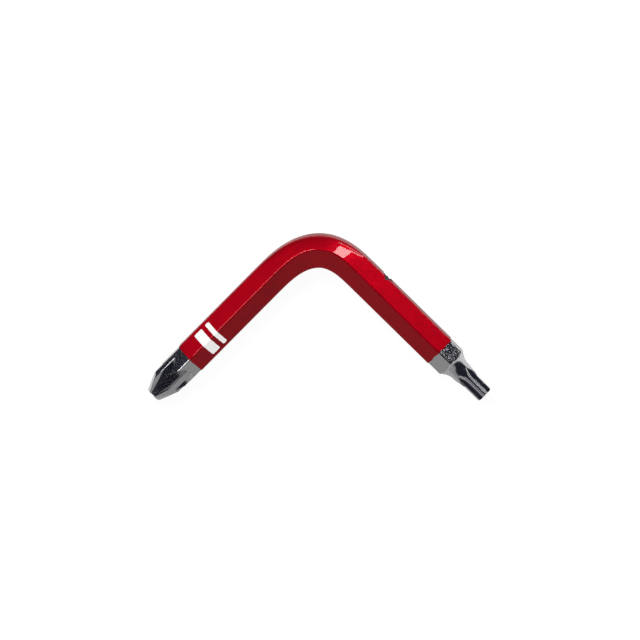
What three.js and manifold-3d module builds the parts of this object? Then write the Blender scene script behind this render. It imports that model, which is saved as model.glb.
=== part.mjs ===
// Two-ended angle screwdriver for ski bindings: one hexagonal steel bar bent square, with a
// cross tip ground on one end, a six-lobe tip on the other, and a red coat over the grip.
// Millimetres, +Z up. The key lies flat with one edge of the hexagon down. The cross arm points
// along -X, the star arm along -Y, and the origin is under the middle of the bounding box.

import * as THREE from 'three';
import { mergeVertices } from 'three/addons/utils/BufferGeometryUtils.js';
import Module from 'manifold-3d';

const wasm = await Module();
wasm.setup();

const { PI, sin, cos, tan, atan2, sqrt } = Math;
const radians = THREE.MathUtils.degToRad;

// Steel bar. Arm lengths run from the crossing of the two centre lines to the tip face. The bend
// is tightest between the arms and eases into both, more gently into the cross arm.
const barAcrossFlats = 7.5;
const barCornerRadius = 0.3;
const bendTightestRadius = 8.6;
const bendCrossShare = 0.606;
const crossArmLength = 55.6;
const starArmLength = 55.9;

// Red coat. The bare lengths are the steel left showing at each end.
const coatThickness = 0.13;
const coatClearance = 0.02;
const crossBareLength = 12.6;
const starBareLength = 14.9;

// Cross tip, size 3: four wings, each with a ground groove along both flanks, and a low rib left
// standing in the corner between every two wings.
const crossPointDiameter = 3.86;
const crossConeAngle = radians(26.5);
const wingThickness = 1.45;
const ribHeight = 0.34;
const ribFaceAngle = radians(56.25);
const ribFlankAngle = radians(57);
const grooveTaper = radians(5);
const grooveStraight = 6.25;
const grooveWheelRadius = 6;
const crossTurn = radians(11);

// Star tip, size 25: six round lobes on a turned neck with a hollow shoulder behind it.
const starPointDiameter = 4.43;
const starFluteDepth = 0.625;
const starLobeRadius = 0.39;
const starPointLength = 4;
const starRampLength = 2;
const starNeckDiameter = 5.06;
const starNeckLength = 2;
const starShoulderRadius = 4.2;
const starShoulderAngle = radians(50);
const starEndChamfer = 0.25;
const starFluteStraight = 4.5;
const starWheelRadius = 6;
const starTurn = radians(-10);

// How finely round stretches are cut into flat ones, and how far a cutter passes its work.
const bendSteps = 16;
const stepDivisions = 12;
const cornerDivisions = 1;
const arcDivisions = 3;
const latheSegments = 48;
const overrun = 1;
const sectorLap = radians(2);

// Sizes that follow from the ones above.
const sides = 6;
const lobes = 6;
const wings = 4;
const coatOffset = coatClearance + coatThickness;
const coatAcrossFlats = barAcrossFlats + 2 * coatOffset;
const barCornerReach = (barAcrossFlats / 2 - barCornerRadius) / cos(PI / sides) + barCornerRadius;
const cutterReach = barCornerReach + overrun;
const corner = new THREE.Vector3(
  (crossArmLength - coatAcrossFlats / 2) / 2,
  (starArmLength - coatAcrossFlats / 2) / 2,
  barCornerReach + coatOffset,
);

// The bend's centre line from the end of the cross arm's straight, with a stop at every even turn.
// Its curvature rises evenly to the tightest place and falls evenly to the star arm.
function bendStops() {
  const length = PI * bendTightestRadius;
  const rise = bendCrossShare * length;
  const fall = length - rise;
  const riseTurn = rise / (2 * bendTightestRadius);
  const distanceAt = (turned) =>
    turned < riseTurn
      ? sqrt(2 * rise * bendTightestRadius * turned)
      : length - sqrt(2 * fall * bendTightestRadius * (PI / 2 - turned));
  const turnedAt = (distance) =>
    distance < rise
      ? distance ** 2 / (2 * rise * bendTightestRadius)
      : PI / 2 - (length - distance) ** 2 / (2 * fall * bendTightestRadius);
  const point = new THREE.Vector3();
  const stops = [{ point: point.clone(), heading: 0 }];
  let distance = 0;
  for (let step = 1; step <= bendSteps; step++) {
    const turned = (step / bendSteps) * (PI / 2);
    const stride = (distanceAt(turned) - distance) / stepDivisions;
    for (let division = 0; division < stepDivisions; division++) {
      const heading = -turnedAt(distance + stride / 2);
      point.x += stride * cos(heading);
      point.y += stride * sin(heading);
      distance += stride;
    }
    stops.push({ point: point.clone(), heading: -turned });
  }
  return stops;
}

// The bar's centre line, as a curve that stops only where the sweep needs a section: at its two
// ends and at even turns of the bend. The trims shorten it at the cross and the star end.
class KeyAxis extends THREE.Curve {
  constructor(crossTrim, starTrim) {
    super();
    const crossEnd = corner.clone();
    crossEnd.x -= crossArmLength - crossTrim;
    const starEnd = corner.clone();
    starEnd.y -= starArmLength - starTrim;
    const bend = bendStops();
    const bendStart = corner.clone();
    bendStart.x -= bend[bendSteps].point.x;
    for (const { point } of bend) point.add(bendStart);
    this.stops = [
      { point: crossEnd, heading: 0 },
      ...bend,
      { point: starEnd, heading: -PI / 2 },
    ];
  }

  get spans() {
    return this.stops.length - 1;
  }

  stopAt(u) {
    return this.stops[Math.round(u * this.spans)];
  }

  getPointAt(u, target = new THREE.Vector3()) {
    return target.copy(this.stopAt(u).point);
  }

  getTangentAt(u, target = new THREE.Vector3()) {
    const { heading } = this.stopAt(u);
    return target.set(cos(heading), sin(heading), 0);
  }
}

// A hexagon with rounded corners, one corner on the section's first axis.
function hexagon(path, acrossFlats, cornerRadius) {
  const centreReach = (acrossFlats / 2 - cornerRadius) / cos(PI / sides);
  for (let side = 0; side < sides; side++) {
    const angle = (side * 2 * PI) / sides;
    const x = centreReach * cos(angle);
    const y = centreReach * sin(angle);
    path.absarc(x, y, cornerRadius, angle - PI / sides, angle + PI / sides, false);
  }
  path.closePath();
  return path;
}

function sweep(section, axis) {
  return new THREE.ExtrudeGeometry(section, {
    steps: axis.spans,
    curveSegments: cornerDivisions,
    extrudePath: axis,
  });
}

// A closed geometry as a solid for cutting, turned right side out if its faces point in.
function solid(geometry) {
  const bare = geometry.clone();
  bare.deleteAttribute('normal');
  bare.deleteAttribute('uv');
  const merged = mergeVertices(bare);
  const vertProperties = Float32Array.from(merged.attributes.position.array);
  const triVerts = Uint32Array.from(merged.index.array);
  const body = new wasm.Manifold(new wasm.Mesh({ numProp: 3, vertProperties, triVerts }));
  if (body.volume() > 0) return body;
  return new wasm.Manifold(
    new wasm.Mesh({ numProp: 3, vertProperties, triVerts: triVerts.reverse() }),
  );
}

function geometryOf(body) {
  const { vertProperties, triVerts, numProp } = body.getMesh();
  const geometry = new THREE.BufferGeometry();
  geometry.setAttribute('position', new THREE.BufferAttribute(vertProperties, numProp));
  geometry.setIndex(new THREE.BufferAttribute(triVerts, 1));
  geometry.computeVertexNormals();
  return geometry;
}

// Tip frames: Z points out of the tip from the centre of its face, X points up.
const up = new THREE.Vector3(0, 0, 1);

function tipFrame(outward, armLength) {
  const sideways = new THREE.Vector3().crossVectors(outward, up);
  const face = corner.clone().addScaledVector(outward, armLength);
  return new THREE.Matrix4().makeBasis(up, sideways, outward).setPosition(face);
}

const crossFrame = tipFrame(new THREE.Vector3(-1, 0, 0), crossArmLength);
const starFrame = tipFrame(new THREE.Vector3(0, -1, 0), starArmLength);

// What a lathe takes off outside a profile. The profile's points are a radius and a depth
// behind the tip face, from the nose inwards, and end clear of the bar's corners.
function turnedWaste(profile) {
  const first = profile[0];
  const last = profile[profile.length - 1];
  const outline = [new THREE.Vector2(first.x, overrun)];
  for (const { x, y } of profile) outline.push(new THREE.Vector2(x, -y));
  outline.push(new THREE.Vector2(last.x + overrun, -last.y));
  outline.push(new THREE.Vector2(last.x + overrun, overrun));
  outline.push(outline[0].clone());
  return new THREE.LatheGeometry(outline, latheSegments).rotateX(PI / 2);
}

// What a grinding wheel takes out of a tip. The section lies across the tip, X outwards from its
// axis. It runs straight back from the face, then the wheel's rim carries it up out of the bar.
function groundGroove(section, straight, wheelRadius, taper, turn) {
  const depth = Math.min(...section.map((point) => point.x));
  const wheelCentre = depth + wheelRadius;
  const run = new THREE.ExtrudeGeometry(new THREE.Shape(section), {
    depth: straight + overrun,
    bevelEnabled: false,
  });
  run.translate(0, 0, -straight);
  const rim = section.map(({ x, y }) => new THREE.Vector2(wheelCentre - x, y));
  rim.push(rim[0].clone());
  const wheel = new THREE.LatheGeometry(rim, latheSegments);
  wheel.translate(wheelCentre, 0, -straight);
  for (const cut of [run, wheel]) {
    cut.translate(-depth, 0, 0).rotateY(-taper).translate(depth, 0, 0).rotateZ(turn);
  }
  return [run, wheel];
}

// One groove of the cross tip, beside a wing that points along X: the wing's flank, the low face
// of the rib, and the rib's steep flank out to the bar's surface.
function wingGroove(side) {
  const flank = wingThickness / 2;
  const crest = flank + ribHeight / sqrt(2);
  const valley = crest + (crest - flank) / tan((3 * PI) / 4 - ribFaceAngle);
  const flankRise = (cutterReach - crest) * tan(ribFlankAngle);
  return [
    new THREE.Vector2(valley, side * flank),
    new THREE.Vector2(cutterReach, side * flank),
    new THREE.Vector2(cutterReach, side * (crest + flankRise)),
    new THREE.Vector2(crest, side * crest),
  ];
}

function crossCuts() {
  const pointRadius = crossPointDiameter / 2;
  const coneLength = (cutterReach - pointRadius) / tan(crossConeAngle);
  const cuts = [
    turnedWaste([new THREE.Vector2(pointRadius, 0), new THREE.Vector2(cutterReach, coneLength)]),
  ];
  for (let wing = 0; wing < wings; wing++) {
    const turn = crossTurn + PI / wings + (wing * 2 * PI) / wings;
    for (const side of [-1, 1]) {
      const groove = wingGroove(side);
      cuts.push(...groundGroove(groove, grooveStraight, grooveWheelRadius, grooveTaper, turn));
    }
  }
  return cuts;
}

// The space between two lobes, with the flute's round floor tangent to both of them.
function starFlute() {
  const half = PI / lobes;
  const rootRadius = starPointDiameter / 2 - starFluteDepth;
  const lobeReach = starPointDiameter / 2 - starLobeRadius;
  const lobeX = lobeReach * cos(half);
  const lobeY = lobeReach * sin(half);
  const fluteRadius =
    (lobeReach ** 2 + rootRadius ** 2 - 2 * rootRadius * lobeX - starLobeRadius ** 2) /
    (2 * (starLobeRadius - rootRadius + lobeX));
  const fluteX = rootRadius + fluteRadius;
  const tangent = atan2(lobeY, fluteX - lobeX);
  const outline = new THREE.Path();
  outline.absarc(lobeX, -lobeY, starLobeRadius, -half, tangent, false);
  outline.absarc(fluteX, 0, fluteRadius, PI + tangent, PI - tangent, true);
  outline.absarc(lobeX, lobeY, starLobeRadius, -tangent, half, false);
  const outer = new THREE.Vector2(cutterReach, 0);
  const centre = new THREE.Vector2();
  const start = outer.clone().rotateAround(centre, half + sectorLap);
  const end = outer.clone().rotateAround(centre, -half - sectorLap);
  return [...outline.getPoints(arcDivisions), start, end];
}

function starCuts() {
  const pointRadius = starPointDiameter / 2;
  const neckRadius = starNeckDiameter / 2;
  const neckStart = starPointLength + starRampLength;
  const neckEnd = neckStart + starNeckLength;
  const hollowEnd = neckEnd + starShoulderRadius * sin(starShoulderAngle);
  const hollowTop = neckRadius + starShoulderRadius * (1 - cos(starShoulderAngle));
  const coneEnd = hollowEnd + (cutterReach - hollowTop) / tan(starShoulderAngle);
  const profile = new THREE.Path();
  profile.moveTo(pointRadius - starEndChamfer, 0);
  profile.lineTo(pointRadius, starEndChamfer);
  profile.lineTo(pointRadius, starPointLength);
  profile.lineTo(neckRadius, neckStart);
  profile.absarc(
    neckRadius + starShoulderRadius, neckEnd, starShoulderRadius, PI, PI - starShoulderAngle, true,
  );
  profile.lineTo(cutterReach, coneEnd);
  const cuts = [turnedWaste(profile.getPoints(arcDivisions))];
  for (let lobe = 0; lobe < lobes; lobe++) {
    const turn = starTurn + PI / lobes + (lobe * 2 * PI) / lobes;
    cuts.push(...groundGroove(starFlute(), starFluteStraight, starWheelRadius, 0, turn));
  }
  return cuts;
}

function steelKey() {
  const section = hexagon(new THREE.Shape(), barAcrossFlats, barCornerRadius);
  let body = solid(sweep(section, new KeyAxis(0, 0)));
  for (const cut of crossCuts()) body = body.subtract(solid(cut.applyMatrix4(crossFrame)));
  for (const cut of starCuts()) body = body.subtract(solid(cut.applyMatrix4(starFrame)));
  return geometryOf(body);
}

function redCoat() {
  const outside = barCornerRadius + coatOffset;
  const inside = barCornerRadius + coatClearance;
  const section = hexagon(new THREE.Shape(), coatAcrossFlats, outside);
  section.holes.push(
    hexagon(new THREE.Path(), barAcrossFlats + 2 * coatClearance, inside),
  );
  return sweep(section, new KeyAxis(crossBareLength, starBareLength));
}

function piece(name, geometry, look) {
  const mesh = new THREE.Mesh(geometry, new THREE.MeshStandardMaterial(look));
  mesh.name = name;
  return mesh;
}

const key = new THREE.Group();
key.add(
  piece('steel_key', steelKey(), { color: 0x9a9da3, roughness: 0.28, metalness: 1 }),
  piece('red_coat', redCoat(), { color: 0xb00a1c, roughness: 0.18, metalness: 0 }),
);

export default key;
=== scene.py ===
from math import atan2, cos, pi, radians, sin, sqrt, tan

import bmesh
import bpy
from mathutils import Matrix, Vector


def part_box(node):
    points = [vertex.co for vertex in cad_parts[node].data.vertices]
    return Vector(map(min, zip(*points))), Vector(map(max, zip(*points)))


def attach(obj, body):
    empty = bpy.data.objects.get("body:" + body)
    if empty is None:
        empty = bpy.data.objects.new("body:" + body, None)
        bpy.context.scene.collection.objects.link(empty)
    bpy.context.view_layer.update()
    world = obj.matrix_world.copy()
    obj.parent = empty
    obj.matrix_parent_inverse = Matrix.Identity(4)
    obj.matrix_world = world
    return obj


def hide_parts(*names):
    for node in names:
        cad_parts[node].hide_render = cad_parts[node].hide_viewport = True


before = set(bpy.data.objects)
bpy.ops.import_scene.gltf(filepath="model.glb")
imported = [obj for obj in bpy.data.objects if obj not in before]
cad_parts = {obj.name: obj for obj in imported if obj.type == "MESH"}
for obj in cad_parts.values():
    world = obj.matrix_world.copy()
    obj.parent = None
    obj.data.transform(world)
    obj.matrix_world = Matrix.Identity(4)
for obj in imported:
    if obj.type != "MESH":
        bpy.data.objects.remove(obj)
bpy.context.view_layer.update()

# The bar. Drawn hexagonal tool steel, cut to length and bent square round a post, so that the
# hexagon runs unbroken from one end to the other. It is worked in millimetres until it is done.
MM = 0.001
steel_low, steel_high = [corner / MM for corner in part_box("steel_key")]
coat_low, coat_high = [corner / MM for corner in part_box("red_coat")]
bar_flats = 7.5
bar_edge_radius = 0.3
bar_edge_steps = 6
bend_tightest = 8.6
bend_cross_share = 0.606
bend_steps = 48
step_divisions = 12
corner_draw = 0.7
weld = 0.0005
up = Vector((0, 0, 1))
crossing = Vector((
    steel_high.x - bar_flats / 2,
    steel_high.y - bar_flats / 2,
    (coat_low.z + coat_high.z) / 2,
))


def bend_stops():
    """Points and headings round the bend, which tightens evenly and then eases out again."""
    length = pi * bend_tightest
    rise = bend_cross_share * length
    fall = length - rise
    rise_turn = rise / (2 * bend_tightest)
    point = Vector((0, 0, 0))
    stops = [(point.copy(), 0.0)]
    distance = 0.0
    for step in range(1, bend_steps + 1):
        turned = step / bend_steps * pi / 2
        if turned < rise_turn:
            goal = sqrt(2 * rise * bend_tightest * turned)
        else:
            goal = length - sqrt(2 * fall * bend_tightest * (pi / 2 - turned))
        stride = (goal - distance) / step_divisions
        for division in range(step_divisions):
            at = distance + stride / 2
            if at < rise:
                heading = at ** 2 / (2 * rise * bend_tightest)
            else:
                heading = pi / 2 - (length - at) ** 2 / (2 * fall * bend_tightest)
            point += stride * Vector((cos(heading), -sin(heading), 0))
            distance += stride
        stops.append((point.copy(), -turned))
    start = crossing - Vector((point.x, 0, 0))
    return [(start + place, heading) for place, heading in stops]


bend = bend_stops()
bend_start = bend[0][0]
bend_end = bend[-1][0]


def tip_frame(outward, face):
    """Z points out of the tip from the centre of its face, X points up."""
    axes = Matrix((up, outward.cross(up), outward)).transposed()
    return Matrix.Translation(face) @ axes.to_4x4()


cross_tip = tip_frame(Vector((-1, 0, 0)), Vector((steel_low.x, crossing.y, crossing.z)))
star_tip = tip_frame(Vector((0, -1, 0)), Vector((crossing.x, steel_low.y, crossing.z)))


def points_of(geom):
    return [part for part in geom if isinstance(part, bmesh.types.BMVert)]


def points_on(edges):
    return list(dict.fromkeys(point for edge in edges for point in edge.verts))


def rim_of(geom):
    return [part for part in geom if isinstance(part, bmesh.types.BMEdge) and part.is_boundary]


def hexagon_at(bm, flats, edge_radius, edge_steps, end_x):
    """A hexagon with rounded corners across the cross arm, one corner up. Gives its rim."""
    turn_up = Matrix.Translation((end_x, crossing.y, crossing.z)) @ Matrix((
        (0, 0, -1, 0),
        (-1, 0, 0, 0),
        (0, 1, 0, 0),
        (0, 0, 0, 1),
    ))
    made = bmesh.ops.create_circle(
        bm, cap_ends=True, segments=6, radius=flats / 2 / cos(pi / 6), matrix=turn_up)
    bmesh.ops.bevel(
        bm, geom=made["verts"], offset=edge_radius * tan(pi / 6), offset_type="OFFSET",
        segments=edge_steps, profile=0.5, affect="VERTICES", material=-1)
    return list(bm.edges)


def run_on(bm, rim, travel):
    """Carries a rim straight on and gives the new rim."""
    run = bmesh.ops.extrude_edge_only(bm, edges=rim)["geom"]
    bmesh.ops.translate(bm, vec=travel, verts=points_of(run))
    return rim_of(run)


def bend_square(bm, rim, stops):
    """Carries a rim round the bend, from one arm into the other."""
    for (here, heading), (there, next_heading) in zip(stops, stops[1:]):
        turn = next_heading - heading
        chord = there - here
        centre = (here + there) / 2 + up.cross(chord) / (2 * tan(turn / 2))
        step = bmesh.ops.spin(
            bm, geom=points_on(rim) + rim, cent=centre, axis=up, angle=turn, steps=1)
        rim = rim_of(step["geom_last"])
    return rim


def along_bend(point):
    """The centre of the bar and its outward side beside a point, and how far into the bend."""
    here, heading = min(bend, key=lambda stop: (point - stop[0]).to_2d().length)
    return here, Vector((-sin(heading), cos(heading), 0)), sin(-2 * heading)


def draw_corners(bm):
    """Leans the top and bottom edges outward in the bend, where the bar stretches."""
    edge_reach = bar_flats / 2 / cos(pi / 6)
    for point in bm.verts:
        here, outward, bent = along_bend(point.co)
        share = 2 * abs(point.co.z - here.z) / edge_reach - 1
        point.co += outward * corner_draw * max(share, 0) * bent


def workpiece(name, bm):
    bmesh.ops.remove_doubles(bm, verts=bm.verts, dist=weld)
    bmesh.ops.recalc_face_normals(bm, faces=bm.faces)
    mesh = bpy.data.meshes.new(name)
    bm.to_mesh(mesh)
    bm.free()
    made = bpy.data.objects.new(name, mesh)
    bpy.context.scene.collection.objects.link(made)
    return made


bar = bmesh.new()
rim = hexagon_at(bar, bar_flats, bar_edge_radius, bar_edge_steps, steel_low.x)
rim = run_on(bar, rim, (bend_start.x - steel_low.x, 0, 0))
rim = bend_square(bar, rim, bend)
rim = run_on(bar, rim, (0, steel_low.y - bend_end.y, 0))
bmesh.ops.contextual_create(bar, geom=rim)
draw_corners(bar)
steel_key = workpiece("steel_key_bar", bar)

# The cross tip. Turned to a cone, then a wheel grinds one groove along each flank of the four
# wings and runs out through the hexagon, which leaves a low rib in each corner between wings.
clear = 1.0
bar_reach = (bar_flats / 2 - bar_edge_radius) / cos(pi / 6) + bar_edge_radius + clear
turning_steps = 96
wheel_radius = 6.0
wheel_steps = 24
groove_straight = 6.25
groove_taper = radians(5)
cross_point_radius = 1.93
cross_cone = radians(26.5)
wing_half = 0.725
rib_height = 0.34
rib_face = radians(56.25)
rib_flank = radians(57)
rib_land = 0.01
wing_turn = radians(11)


def closed_outline(bm, points):
    corners = [bm.verts.new(point) for point in points]
    for start, end in zip(corners, corners[1:] + corners[:1]):
        bm.edges.new((start, end))


def turned_waste(bm, place):
    """Spins an outline beside the axis into the ring that a lathe takes off."""
    bmesh.ops.spin(
        bm, geom=bm.verts[:] + bm.edges[:], cent=(0, 0, 0), axis=(0, 0, 1), angle=2 * pi,
        steps=turning_steps, use_merge=True)
    bmesh.ops.transform(bm, matrix=place, verts=bm.verts)
    return workpiece("waste", bm)


def ground_waste(bm, depth, straight, taper, turn, place):
    """Runs an outline back from the tip, then up out of the bar on the rim of the wheel."""
    section = bmesh.ops.contextual_create(bm, geom=bm.edges[:])["faces"]
    bmesh.ops.translate(bm, vec=(0, 0, clear), verts=bm.verts)
    run = bmesh.ops.extrude_face_region(bm, geom=section)["geom"]
    bmesh.ops.translate(bm, vec=(0, 0, -clear - straight), verts=points_of(run))
    wheel_centre = (depth + wheel_radius, 0, -straight)
    bmesh.ops.spin(
        bm, geom=run, cent=wheel_centre, axis=(0, 1, 0), angle=-pi / 2, steps=wheel_steps)
    bmesh.ops.rotate(
        bm, cent=(depth, 0, 0), matrix=Matrix.Rotation(-taper, 3, "Y"), verts=bm.verts)
    bmesh.ops.transform(bm, matrix=place @ Matrix.Rotation(turn, 4, "Z"), verts=bm.verts)
    return workpiece("waste", bm)


cone_length = (bar_reach - cross_point_radius) / tan(cross_cone)
cone = bmesh.new()
closed_outline(cone, [
    (cross_point_radius - clear * tan(cross_cone), 0, clear),
    (bar_reach, 0, -cone_length),
    (bar_reach + clear, 0, -cone_length),
    (bar_reach + clear, 0, clear),
])
waste = [turned_waste(cone, cross_tip)]

crest = wing_half + rib_height / sqrt(2)
valley = crest + (crest - wing_half) / tan(3 * pi / 4 - rib_face)
flank_top = crest + (bar_reach - crest) * tan(rib_flank)
for wing in range(4):
    for side in (-1, 1):
        groove = bmesh.new()
        closed_outline(groove, [
            (valley, side * wing_half, 0),
            (bar_reach, side * wing_half, 0),
            (bar_reach, side * flank_top, 0),
            (crest, side * (crest - rib_land), 0),
        ])
        waste.append(ground_waste(
            groove, depth=crest, straight=groove_straight, taper=groove_taper,
            turn=wing_turn + pi / 4 + wing * pi / 2, place=cross_tip))

# The star tip. Turned down to a neck with a hollow shoulder behind it, then six flutes are
# ground between the lobes, deep enough to run out over the neck.
star_radius = 2.215
star_root = star_radius - 0.625
star_turn = radians(-10)
end_chamfer = 0.25
lobe_radius = 0.39
lobe_steps = 6
lobe_end = 4.0
flute_straight = 4.5
flute_steps = 10
flute_lap = radians(2)
neck_radius = 2.53
neck_start = 6.0
neck_end = 8.0
hollow_radius = 4.2
hollow_turn = radians(50)
hollow_steps = 10


def arc_on(bm, start, centre, turn, steps, axis=(0, 0, 1)):
    """Carries the end of an outline on round a centre and gives its new end."""
    arc = bmesh.ops.spin(bm, geom=[start], cent=centre, axis=axis, angle=turn, steps=steps)
    return points_of(arc["geom_last"])[0]


def line_on(bm, start, *points):
    for point in points:
        end = bm.verts.new(point)
        bm.edges.new((start, end))
        start = end
    return start


neck = bmesh.new()
nose = neck.verts.new((star_radius - end_chamfer - clear, 0, clear))
foot = line_on(
    neck, nose,
    (star_radius, 0, -end_chamfer),
    (star_radius, 0, -lobe_end),
    (neck_radius, 0, -neck_start),
    (neck_radius, 0, -neck_end),
)
hollow_centre = (neck_radius + hollow_radius, 0, -neck_end)
foot = arc_on(neck, foot, hollow_centre, -hollow_turn, hollow_steps, axis=(0, 1, 0))
shoulder_end = foot.co.z - (bar_reach - foot.co.x) / tan(hollow_turn)
foot = line_on(
    neck, foot,
    (bar_reach, 0, shoulder_end),
    (bar_reach + clear, 0, shoulder_end),
    (bar_reach + clear, 0, clear),
)
neck.edges.new((foot, nose))
waste.append(turned_waste(neck, star_tip))

half_lobe = pi / 6
lobe_reach = star_radius - lobe_radius
lobe_x = lobe_reach * cos(half_lobe)
lobe_y = lobe_reach * sin(half_lobe)
flute_radius = (
    (lobe_reach ** 2 + star_root ** 2 - 2 * star_root * lobe_x - lobe_radius ** 2)
    / (2 * (lobe_radius - star_root + lobe_x)))
flute_x = star_root + flute_radius
tangent = atan2(lobe_y, flute_x - lobe_x)
flute_side = half_lobe + flute_lap
for lobe in range(6):
    flute = bmesh.new()
    first = flute.verts.new((star_radius * cos(half_lobe), -star_radius * sin(half_lobe), 0))
    last = arc_on(flute, first, (lobe_x, -lobe_y, 0), half_lobe + tangent, lobe_steps)
    last = arc_on(flute, last, (flute_x, 0, 0), -2 * tangent, flute_steps)
    last = arc_on(flute, last, (lobe_x, lobe_y, 0), half_lobe + tangent, lobe_steps)
    last = line_on(
        flute, last,
        (bar_reach * cos(flute_side), bar_reach * sin(flute_side), 0),
        (bar_reach * cos(flute_side), -bar_reach * sin(flute_side), 0),
    )
    flute.edges.new((last, first))
    waste.append(ground_waste(
        flute, depth=star_root, straight=flute_straight, taper=0,
        turn=star_turn + half_lobe + lobe * pi / 3, place=star_tip))


def weld_slivers(bm):
    bmesh.ops.remove_doubles(bm, verts=bm.verts, dist=weld)
    bmesh.ops.dissolve_degenerate(bm, edges=bm.edges, dist=weld)


def cut_away(piece, cuts):
    """Takes each cut off in turn, and welds the slivers shut before the next."""
    for cut in cuts:
        step = piece.modifiers.new("cut", "BOOLEAN")
        step.operation = "DIFFERENCE"
        step.solver = "EXACT"
        step.object = cut
        work = bpy.context.evaluated_depsgraph_get()
        piece.data = bpy.data.meshes.new_from_object(piece.evaluated_get(work))
        piece.modifiers.clear()
        welded = bmesh.new()
        welded.from_mesh(piece.data)
        weld_slivers(welded)
        welded.to_mesh(piece.data)
        welded.free()
        bpy.data.objects.remove(cut)


# The steel's finish. The flats keep the bright skin of the drawn bar, dulled in curls by
# handling. The tips are ground across, which leaves fine lines. Small pits lie all over, the
# walls of a knock on one edge are painted near black as shade, and use has rubbed the edges of
# the cross tip.
rubbed_edge = 0.07
rubbed_above = radians(35)
smooth_below = radians(28)
knock_offset = Vector((0.4, -19.6, -2.1))
knock_size = (0.95, 1.6, 3.2)


def feed(tree, made, inputs):
    """Puts plain values or other nodes' outputs on the inputs of a node."""
    for name, value in inputs.items():
        if isinstance(value, bpy.types.NodeSocket):
            tree.links.new(value, made.inputs[name])
        else:
            made.inputs[name].default_value = value


def node(tree, kind, inputs, **settings):
    made = tree.nodes.new(kind)
    for name, value in settings.items():
        setattr(made, name, value)
    feed(tree, made, inputs)
    return made


def material(name):
    made = bpy.data.materials.new(name)
    made.use_nodes = True
    return made


def surface(tree, inputs):
    feed(tree, tree.nodes["Principled BSDF"], inputs)


def maths(tree, operation, first, second):
    return node(tree, "ShaderNodeMath", {0: first, 1: second}, operation=operation).outputs[0]


def ranged(tree, value, low, high, to_low, to_high):
    """Brings a value from one range to another and stops at both ends."""
    return node(tree, "ShaderNodeMapRange", {
        "Value": value, "From Min": low, "From Max": high, "To Min": to_low, "To Max": to_high,
    }).outputs["Result"]


def blend(tree, share, first, second):
    """Goes from the first colour to the second as the share goes from 0 to 1."""
    return node(tree, "ShaderNodeMix", {
        0: share, 6: first, 7: second}, data_type="RGBA").outputs[2]


def noise(tree, place, stretch, **values):
    """Noise that is counted in grains per millimetre along each way."""
    scaled = node(tree, "ShaderNodeVectorMath", {
        0: place, 1: [count / MM for count in stretch]}, operation="MULTIPLY").outputs[0]
    inputs = {"Vector": scaled, "Scale": 1.0, **values}
    return node(tree, "ShaderNodeTexNoise", inputs).outputs["Fac"]


def along_bar(tree):
    """The place on the key as along the nearer arm, across it and up."""
    here = node(tree, "ShaderNodeTexCoord", {}).outputs["Object"]
    parts = node(tree, "ShaderNodeSeparateXYZ", {0: here}).outputs
    return node(tree, "ShaderNodeCombineXYZ", {
        0: maths(tree, "MINIMUM", parts["X"], parts["Y"]),
        1: maths(tree, "MAXIMUM", parts["X"], parts["Y"]),
        2: parts["Z"],
    }).outputs[0]


def wear_group():
    """Curls, pits and lines, as one group that both finishes of the steel share."""
    tree = bpy.data.node_groups.new("steel_wear", "ShaderNodeTree")
    for name, start in (("Polish", 0.1), ("Curls", 0.3), ("Grinding", 0.5)):
        socket = tree.interface.new_socket(name, in_out="INPUT", socket_type="NodeSocketFloat")
        socket.default_value = start
    for name, kind in (("Color", "Color"), ("Roughness", "Float"), ("Height", "Float")):
        tree.interface.new_socket(name, in_out="OUTPUT", socket_type="NodeSocket" + kind)
    given = tree.nodes.new("NodeGroupInput").outputs
    place = along_bar(tree)
    curl = noise(tree, place, (2.2, 2.2, 2.2), Detail=3.0, Distortion=1.4)
    dulled = maths(tree, "MULTIPLY", ranged(tree, curl, 0.47, 0.6, 0, 1), given["Curls"])
    here = node(tree, "ShaderNodeTexCoord", {}).outputs["Object"]
    to_star = node(tree, "ShaderNodeSeparateXYZ", {0: here}).outputs["X"]
    more_at_star = ranged(tree, to_star, 0, 10 * MM, 0.5, 1)
    dulled = maths(tree, "MULTIPLY", dulled, more_at_star)
    lines = noise(tree, place, (5.0, 0.5, 0.5), Detail=2.0)
    drawn = noise(tree, place, (0.1, 7.0, 7.0), Detail=2.0)
    pit = noise(tree, place, (2.4, 3.2, 3.2), Detail=1.0)
    pitted = ranged(tree, pit, 0.68, 0.74, 0, 1)
    tint = blend(tree, pitted, (0.62, 0.62, 0.635, 1), (0.22, 0.22, 0.2, 1))
    rough = maths(tree, "ADD", given["Polish"], dulled)
    rough = maths(tree, "ADD", rough, maths(tree, "MULTIPLY", pitted, 0.3))
    height = maths(tree, "MULTIPLY", lines, given["Grinding"])
    height = maths(tree, "ADD", height, maths(tree, "MULTIPLY", drawn, 0.08))
    height = maths(tree, "SUBTRACT", height, maths(tree, "MULTIPLY", pitted, 0.5))
    node(tree, "NodeGroupOutput", {"Color": tint, "Roughness": rough, "Height": height})
    return tree


steel_wear = wear_group()


def steel(name, polish, curls, grinding):
    finish = material(name)
    tree = finish.node_tree
    wear = node(tree, "ShaderNodeGroup", {
        "Polish": polish, "Curls": curls, "Grinding": grinding}, node_tree=steel_wear).outputs
    marks = node(tree, "ShaderNodeBump", {
        "Strength": 0.25, "Distance": 0.02 * MM, "Height": wear["Height"]}).outputs[0]
    surface(tree, {
        "Base Color": wear["Color"],
        "Metallic": 1.0,
        "Roughness": wear["Roughness"],
        "Normal": marks,
    })
    return finish


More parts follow.
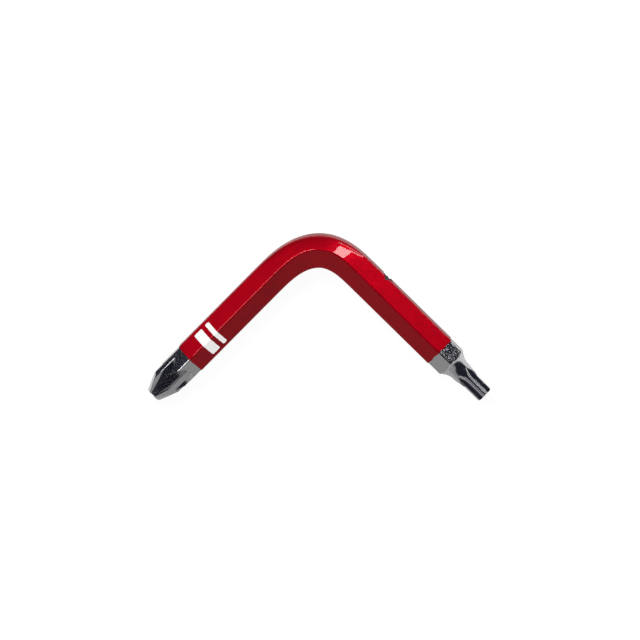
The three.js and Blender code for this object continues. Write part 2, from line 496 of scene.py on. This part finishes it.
drawn_steel = steel("drawn_steel", polish=0.085, curls=0.15, grinding=0.0)
ground_steel = steel("ground_steel", polish=0.11, curls=0.04, grinding=0.5)
# Painted shade for the walls of the knock: a mottled near-black colour stands in for the shadow
# inside the bite.
knock_shade_steel = material("knock_shade_steel")
tree = knock_shade_steel.node_tree
scale = noise(tree, along_bar(tree), (4.0, 4.0, 4.0), Detail=3.0)
surface(tree, {
    "Base Color": blend(tree, scale, (0.01, 0.007, 0.008, 1), (0.06, 0.045, 0.045, 1)),
    "Metallic": 0.6,
    "Roughness": ranged(tree, scale, 0.3, 0.7, 0.5, 0.65),
})
finishes = [drawn_steel, ground_steel, knock_shade_steel]


def knock(name):
    """A ragged bite out of the outer edge of the star arm, where the key has been dropped."""
    dent = bmesh.new()
    bmesh.ops.create_icosphere(dent, subdivisions=4, radius=1.0)
    for point in dent.verts:
        wave = 0.12 * sin(5 * point.co.y + 2 * point.co.z)
        ripple = 0.06 * sin(11 * point.co.y)
        point.co *= 1 + wave + ripple
    edge = Vector((bar_flats / 2, 0, bar_flats / 2 * tan(pi / 6)))
    bmesh.ops.scale(dent, vec=knock_size, verts=dent.verts)
    bmesh.ops.translate(dent, vec=crossing + edge + knock_offset, verts=dent.verts)
    return workpiece(name, dent)


def finish_all(piece, finish):
    for face in piece.data.polygons:
        face.material_index = finishes.index(finish)


def finished(piece):
    """Shades a worked piece and brings it from millimetres to the frame's metres."""
    mesh = piece.data
    mesh.transform(Matrix.Scale(MM, 4))
    mesh.shade_smooth()
    mesh.set_sharp_from_angle(angle=smooth_below)
    level = piece.modifiers.new("flat_faces", "WEIGHTED_NORMAL")
    level.keep_sharp = True
    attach(piece, "root")


steel_knock = knock("steel_knock")
for part in [steel_key, steel_knock] + waste:
    for finish in finishes:
        part.data.materials.append(finish)
for cut in waste:
    finish_all(cut, ground_steel)
# The knock's walls take the painted shade.
finish_all(steel_knock, knock_shade_steel)
cut_away(steel_key, waste + [steel_knock])

rubbed = bmesh.new()
rubbed.from_mesh(steel_key.data)
cross_edges = [
    edge for edge in rubbed.edges
    if edge.is_manifold and edge.calc_face_angle() > rubbed_above
    and max(point.co.x for point in edge.verts) < coat_low.x]
bmesh.ops.bevel(
    rubbed, geom=cross_edges, offset=rubbed_edge, offset_type="OFFSET", segments=2, profile=0.5,
    affect="EDGES", material=-1)
weld_slivers(rubbed)
rubbed.to_mesh(steel_key.data)
rubbed.free()
finished(steel_key)
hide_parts("steel_key")

# The red coat. Powder sprayed on the middle of the bar and baked to a glossy skin. It draws
# back into a soft uneven lip at each masked end, and swells a little over the bend.
coat_flats = 2 * (coat_high.x - crossing.x)
coat_skin = 0.13
coat_edge_radius = bar_edge_radius + (coat_flats - bar_flats) / 2
coat_edge_steps = 8
inner_share = 1 - 2 * coat_skin / coat_flats
lip_steps = 4
cross_lip = {
    "least": 0.09, "slow": 0.05, "slow_count": 2, "slow_start": 0.4, "fast": 0.04,
    "fast_count": 7}
star_lip = {
    "least": 0.17, "slow": 0.09, "slow_count": 3, "slow_start": 2.2, "fast": 0.08,
    "fast_count": 11}
settled = 1.5
flat_cuts = 7
facet_share = 0.48
swell = 0.03
outer_draw = 0.15
draw_onset = 6


def middle(points):
    return sum((point.co for point in points), Vector()) / len(points)


def lip_rings(bm, rim, outward, opening):
    """Rolls a rim out from the steel to the full skin, or back in again."""
    turns = [step / lip_steps * pi / 2 for step in range(lip_steps + 1)]
    if not opening:
        turns.reverse()
    size_now = inner_share + (1 - inner_share) * sin(turns[0])
    for before, after in zip(turns, turns[1:]):
        size_next = inner_share + (1 - inner_share) * sin(after)
        rim = run_on(bm, rim, outward * coat_skin * (cos(before) - cos(after)))
        points = points_on(rim)
        grow = size_next / size_now
        bmesh.ops.scale(
            bm, vec=(grow,) * 3, verts=points, space=Matrix.Translation(-middle(points)))
        size_now = size_next
    return rim


def lip_waves(turn, least, slow, slow_count, slow_start, fast, fast_count):
    """How far the lip draws back at each turn round the bar."""
    return least + slow * sin(slow_count * turn + slow_start) + fast * sin(fast_count * turn)


coat = bmesh.new()
rim = hexagon_at(coat, coat_flats, coat_edge_radius, coat_edge_steps, coat_low.x)
bmesh.ops.delete(coat, geom=coat.faces[:], context="FACES_ONLY")
bmesh.ops.subdivide_edges(
    coat, edges=[edge for edge in rim if edge.calc_length() > 1], cuts=flat_cuts)
rim = list(coat.edges)
bmesh.ops.scale(
    coat, vec=(inner_share,) * 3, verts=coat.verts, space=Matrix.Translation(-middle(coat.verts)))
rim = lip_rings(coat, rim, Vector((1, 0, 0)), opening=True)
rim = run_on(coat, rim, (settled, 0, 0))
rim = run_on(coat, rim, (bend_start.x - coat_low.x - coat_skin - settled, 0, 0))
before_bend = set(coat.verts)
rim = bend_square(coat, rim, bend)
outer_bend = [point for point in coat.verts if point not in before_bend]
rim = run_on(coat, rim, (0, coat_low.y + coat_skin + settled - bend_end.y, 0))
rim = run_on(coat, rim, (0, -settled, 0))
rim = lip_rings(coat, rim, Vector((0, 1, 0)), opening=False)
rim = run_on(coat, rim, (0, coat_skin + settled, 0))
rim = run_on(coat, rim, (0, bend_end.y - coat_low.y - coat_skin - settled, 0))
rim = bend_square(coat, rim, bend[::-1])
rim = run_on(coat, rim, (coat_low.x + coat_skin + settled - bend_start.x, 0, 0))
rim = run_on(coat, rim, (-coat_skin - settled, 0, 0))
for point in coat.verts:
    around = point.co - crossing
    if point.co.x < coat_low.x + settled:
        turn = atan2(around.y, around.z)
        share = 1 - (point.co.x - coat_low.x) / settled
        point.co.x += share * lip_waves(turn, **cross_lip)
    if point.co.y < coat_low.y + settled:
        turn = atan2(around.x, around.z)
        share = 1 - (point.co.y - coat_low.y) / settled
        point.co.y += share * lip_waves(turn, **star_lip)
for point in outer_bend:
    here, outward, bent = along_bend(point.co)
    off_facet = (outward + up * sqrt(3)) / 2
    down_facet = (outward * sqrt(3) - up) / 2
    offset = point.co - here
    share = offset.dot(down_facet) / (coat_flats / 2 * tan(pi / 6))
    if offset.dot(off_facet) > coat_flats * facet_share and abs(share) < 1:
        point.co += off_facet * swell * (1 - share ** 2) * bent
    if share > 0 and offset.z > 0:
        fade = min(offset.z / (coat_flats / 4), 1) * min(draw_onset * bent, 1)
        point.co -= off_facet * outer_draw * min(share, 1) ** 4 * fade
draw_corners(coat)
red_coat = workpiece("red_coat_skin", coat)

red_powder = material("red_powder")
tree = red_powder.node_tree
place = along_bar(tree)
peel = noise(tree, place, (2.6, 2.6, 2.6), Detail=2.5)
cloud = noise(tree, place, (0.25, 0.4, 0.4), Detail=2.0)
clouded = ranged(tree, cloud, 0.35, 0.65, 0, 1)
flow = node(tree, "ShaderNodeBump", {
    "Strength": 0.08, "Distance": 0.05 * MM, "Height": peel}).outputs[0]
surface(tree, {
    "Base Color": blend(tree, clouded, (0.35, 0.001, 0.008, 1), (0.39, 0.001, 0.008, 1)),
    "Metallic": 0.7,
    "Roughness": ranged(tree, peel, 0.3, 0.7, 0.42, 0.48),
    "Specular IOR Level": 0.0,
    "Coat Weight": 0.5,
    "Coat Roughness": 0.04,
    "Normal": flow,
    "Coat Normal": flow,
})
red_coat.data.materials.append(red_powder)
cut_away(red_coat, [knock("coat_knock")])
finished(red_coat)
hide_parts("red_coat")

# The printed bars. White ink padded over the front edge of the cross arm to show which end is
# which. It stands a little above the coat.
ink = 0.02
ink_reach = 3.6
ink_round = 0.3
ink_edge_steps = 6
ink_places = ((37.0, 2.4), (34.0, 1.2))


def printed_bar(name, from_crossing, wide):
    film = bmesh.new()
    rounding = coat_edge_radius + ink
    edge_z = crossing.z + coat_flats / 2 / cos(pi / 6) + ink
    centre = Vector((
        crossing.x - from_crossing - wide / 2, crossing.y, edge_z - rounding / cos(pi / 6)))
    run = ink_reach - rounding * pi / 6
    slope = Vector((0, cos(pi / 6), -sin(pi / 6)))
    bend_out = Vector((0, sin(pi / 6), cos(pi / 6))) * rounding
    flip = Vector((1, -1, 1))
    first = film.verts.new(centre + (bend_out + slope * run) * flip)
    corner = line_on(film, first, centre + bend_out * flip)
    corner = arc_on(film, corner, centre, -pi / 3, ink_edge_steps, axis=(1, 0, 0))
    line_on(film, corner, centre + bend_out + slope * run)
    run_on(film, list(film.edges), (wide, 0, 0))
    ends = [point for point in film.verts if len(point.link_edges) == 2]
    bmesh.ops.bevel(
        film, geom=ends, offset=ink_round, offset_type="OFFSET", segments=4, profile=0.5,
        affect="VERTICES", material=-1)
    bmesh.ops.recalc_face_normals(film, faces=film.faces)
    bmesh.ops.solidify(film, geom=film.faces[:], thickness=2 * ink)
    return workpiece(name, film)


white_ink = material("white_ink")
tree = white_ink.node_tree
grain = noise(tree, along_bar(tree), (6.0, 6.0, 6.0), Detail=2.0)
thinned = ranged(tree, grain, 0.6, 0.75, 0, 1)
surface(tree, {
    "Base Color": blend(tree, thinned, (0.86, 0.85, 0.83, 1), (0.74, 0.62, 0.61, 1)),
    "Roughness": ranged(tree, grain, 0.3, 0.7, 0.4, 0.5),
})
for number, (from_crossing, wide) in enumerate(ink_places, 1):
    mark = printed_bar(f"printed_bar_{number}", from_crossing, wide)
    mark.data.materials.append(white_ink)
    finished(mark)

# The floor. A sheet of plain white board that the key lies on. It keeps the key's shadow, and is
# a shade darker in front of the key than behind it.
board_radius = 4.0
board_front = 0.5
board_front_end = 26
board_behind = 0.75
board_behind_start = 30
board_white = 1.1
board_share = 0.85
board = bmesh.new()
bmesh.ops.create_circle(board, cap_ends=True, segments=64, radius=board_radius)
floor_mesh = bpy.data.meshes.new("floor")
board.to_mesh(floor_mesh)
board.free()
floor = bpy.data.objects.new("floor", floor_mesh)
bpy.context.scene.collection.objects.link(floor)
white_board = material("white_board")
tree = white_board.node_tree
tree.nodes.clear()
paths = node(tree, "ShaderNodeLightPath", {}).outputs
behind = node(tree, "ShaderNodeSeparateXYZ", {0: along_bar(tree)}).outputs["Y"]
shade = ranged(
    tree, behind, board_front_end * MM, board_behind_start * MM, board_front, board_behind)
lit = node(tree, "ShaderNodeBsdfDiffuse", {"Color": shade}).outputs[0]
white = node(tree, "ShaderNodeEmission", {"Strength": board_white}).outputs[0]
seen = node(tree, "ShaderNodeMixShader", {
    0: maths(tree, "MULTIPLY", paths["Is Camera Ray"], board_share), 1: lit, 2: white,
}).outputs[0]
node(tree, "ShaderNodeOutputMaterial", {"Surface": seen})
floor.data.materials.append(white_board)

# The studio. A dark room with a wide grey window low in front of the key, and lit panels behind
# it. The steel and the gloss of the coat mirror these, but not the fill lamp in front, and the
# camera sees plain white.
away = Vector((1, 1, 0)).normalized()
across = Vector((1, -1, 0)).normalized()
overhead = (0.017, 0.018, 0.03, 1)
window_soft = 0.08
lamp_distance = 0.6
fill_distance = 0.8
studio = bpy.data.worlds.new("studio")
bpy.context.scene.world = studio
studio.use_nodes = True
tree = studio.node_tree
tree.nodes.clear()


def studio_way(azimuth, elevation):
    """A direction by its angle to the right of straight behind the key, and its height."""
    level = away * cos(radians(azimuth)) + across * sin(radians(azimuth))
    return level * cos(radians(elevation)) + up * sin(radians(elevation))


def grey(level):
    return (level, level, level, 1)


def by_height(stops):
    """The room's light from the floor, at 0, to overhead, at 1."""
    ramp = node(tree, "ShaderNodeValToRGB", {"Fac": height})
    while len(ramp.color_ramp.elements) < len(stops):
        ramp.color_ramp.elements.new(0.5)
    for element, (position, light) in zip(ramp.color_ramp.elements, stops):
        element.position = position
        element.color = light
    return ramp.outputs["Color"]


def facing(direction, way):
    """How nearly a direction points the given way, from 1 to -1."""
    return node(tree, "ShaderNodeVectorMath", {
        0: direction, 1: way}, operation="DOT_PRODUCT").outputs["Value"]


place = node(tree, "ShaderNodeTexCoord", {}).outputs["Generated"]
height = node(tree, "ShaderNodeSeparateXYZ", {0: place}).outputs["Z"]
level_way = node(tree, "ShaderNodeVectorMath", {
    0: place, 1: (1, 1, 0)}, operation="MULTIPLY").outputs[0]
level_way = node(tree, "ShaderNodeVectorMath", {
    0: level_way}, operation="NORMALIZE").outputs[0]
window_edge = ranged(tree, height, 0.5, 0.8, 0.66, 0.9)
inside = maths(tree, "SUBTRACT", facing(level_way, studio_way(-174, 0)), window_edge)
dark_walls = by_height([(0, grey(0.3)), (0.1, grey(0.05)), (0.2, overhead), (1, overhead)])
window = by_height([
    (0, grey(0.45)), (0.27, grey(0.38)), (0.58, grey(0.36)), (0.7, grey(0.08)),
    (0.85, overhead)])
room = blend(
    tree, ranged(tree, inside, -window_soft, window_soft, 0, 1), dark_walls, window)
lit = node(tree, "ShaderNodeBackground", {"Color": room}).outputs[0]
white = node(tree, "ShaderNodeBackground", {"Color": (1, 1, 1, 1)}).outputs[0]
paths = node(tree, "ShaderNodeLightPath", {}).outputs
seen = node(tree, "ShaderNodeMixShader", {
    0: paths["Is Camera Ray"], 1: lit, 2: white}).outputs[0]
node(tree, "ShaderNodeOutputWorld", {"Surface": seen})


def soft_box(name, direction, wide, high, radiance, roll=0, distance=lamp_distance):
    """A lit panel that faces the bend, as bright as its radiance says."""
    lamp = bpy.data.lights.new(name, "AREA")
    lamp.shape = "RECTANGLE"
    lamp.size = wide
    lamp.size_y = high
    lamp.energy = radiance * pi * wide * high
    panel = bpy.data.objects.new(name, lamp)
    panel.location = crossing * MM + direction * distance
    panel.rotation_euler = direction.to_track_quat("Z", "Y").to_euler()
    panel.rotation_euler.rotate_axis("Z", radians(roll))
    bpy.context.scene.collection.objects.link(panel)
    return panel


soft_box("right_box", studio_way(34.5, 37), wide=0.12, high=0.14, radiance=18, roll=-8)
soft_box("low_strip", studio_way(40, 20), wide=0.32, high=0.05, radiance=6.5)
soft_box("tail_strip", studio_way(44, 28), wide=0.1, high=0.03, radiance=14, roll=34)
soft_box("left_box", studio_way(-55, 56), wide=0.22, high=0.26, radiance=6)
soft_box("bend_box", studio_way(-22, 56), wide=0.16, high=0.16, radiance=20)
fill = soft_box(
    "front_fill", studio_way(180, 55), wide=0.5, high=0.5, radiance=3.6,
    distance=fill_distance)
fill.visible_glossy = False

# The camera. It hangs nearly square above the key, tipped a little so that the outer flats show,
# and looks between the arms.
camera_distance = 0.96
frame_width = 0.1518
tip_away = radians(7.9)
tip_across = radians(2.6)
camera_roll = radians(-0.56)
between_arms = Vector((12, 12, 0))
shift_right = 0.57
shift_down = 4.44
back = (up + away * tan(tip_away) + across * tan(tip_across)).normalized()
level = away.cross(back).normalized()
rise = back.cross(level)
right = level * cos(camera_roll) + rise * sin(camera_roll)
top = rise * cos(camera_roll) - level * sin(camera_roll)
aim = (crossing - between_arms + right * shift_right - top * shift_down) * MM
lens = bpy.data.cameras.new("camera")
lens.sensor_width = 36
lens.lens = lens.sensor_width * camera_distance / frame_width
camera = bpy.data.objects.new("camera", lens)
camera.matrix_world = Matrix.Translation(aim + back * camera_distance) @ Matrix(
    (right, top, back)).transposed().to_4x4()
bpy.context.scene.collection.objects.link(camera)
bpy.context.scene.camera = camera
bpy.context.scene.view_settings.view_transform = "Standard"
